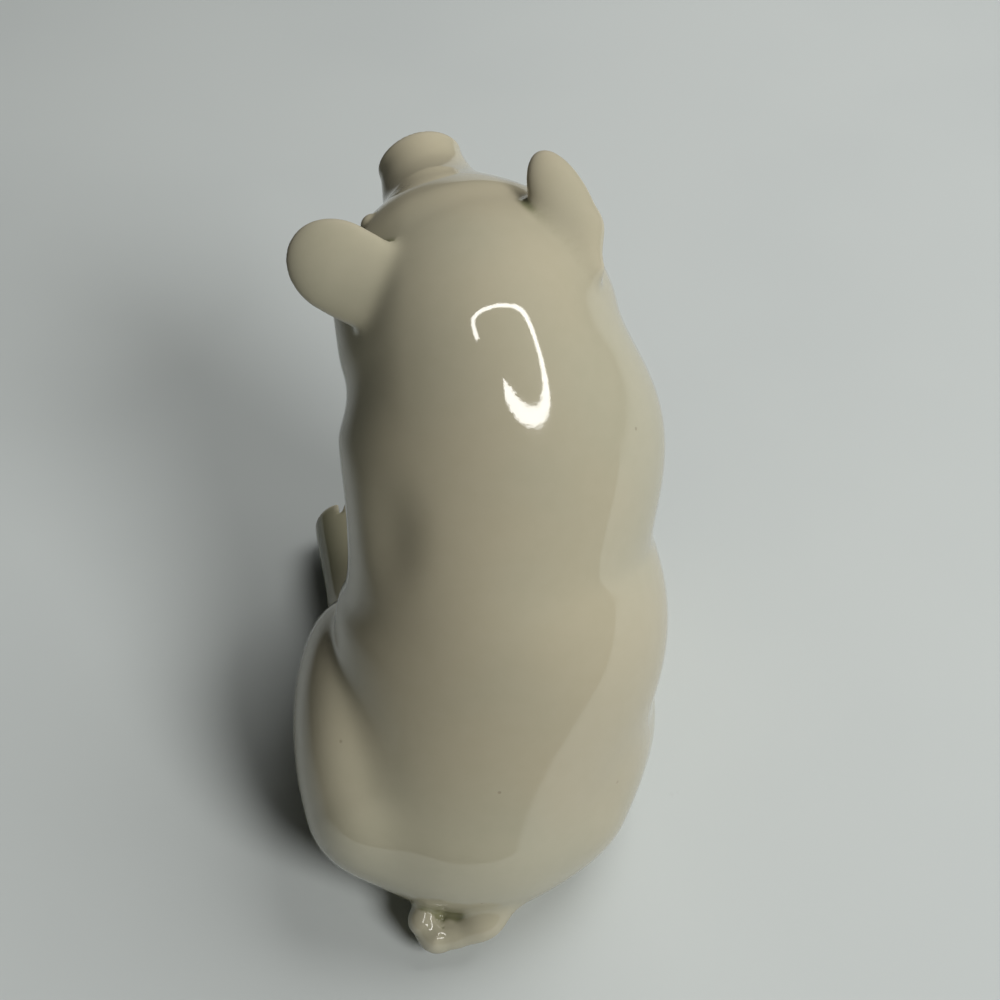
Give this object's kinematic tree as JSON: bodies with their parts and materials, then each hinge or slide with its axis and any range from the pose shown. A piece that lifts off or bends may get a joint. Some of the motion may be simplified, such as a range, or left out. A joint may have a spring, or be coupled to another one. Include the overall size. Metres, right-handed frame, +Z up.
{
  "type": "pig figurine",
  "caption": "Seated glazed porcelain pig with its head turned aside, hollow inside with a vent under the base; a free-standing ornament.",
  "frame": {"origin": "on the table, under the middle of the figure's bounding box", "axes": "+Z up from the table, -Y the way the pig faces, +X to the pig's own left"},
  "size_m": [0.0604, 0.0918, 0.0964],
  "materials": {
    "glazed_porcelain": "clear glossy glaze over ivory-white porcelain",
    "luting_slip": "fired porcelain slip, glazed over where it meets the surface"
  },
  "bodies": {
    "root": {"torso": "glazed_porcelain", "head": "glazed_porcelain", "left_ear": "glazed_porcelain", "right_ear": "glazed_porcelain", "left_foreleg": "glazed_porcelain", "right_foreleg": "glazed_porcelain", "left_hind_leg": "glazed_porcelain", "right_hind_leg": "glazed_porcelain", "tail": "glazed_porcelain", "neck_slip": "luting_slip", "left_ear_slip": "luting_slip", "right_ear_slip": "luting_slip", "left_foreleg_slip": "luting_slip", "right_foreleg_slip": "luting_slip", "left_hind_leg_slip": "luting_slip", "right_hind_leg_slip": "luting_slip", "tail_slip": "luting_slip"}
  },
  "joints": []
}
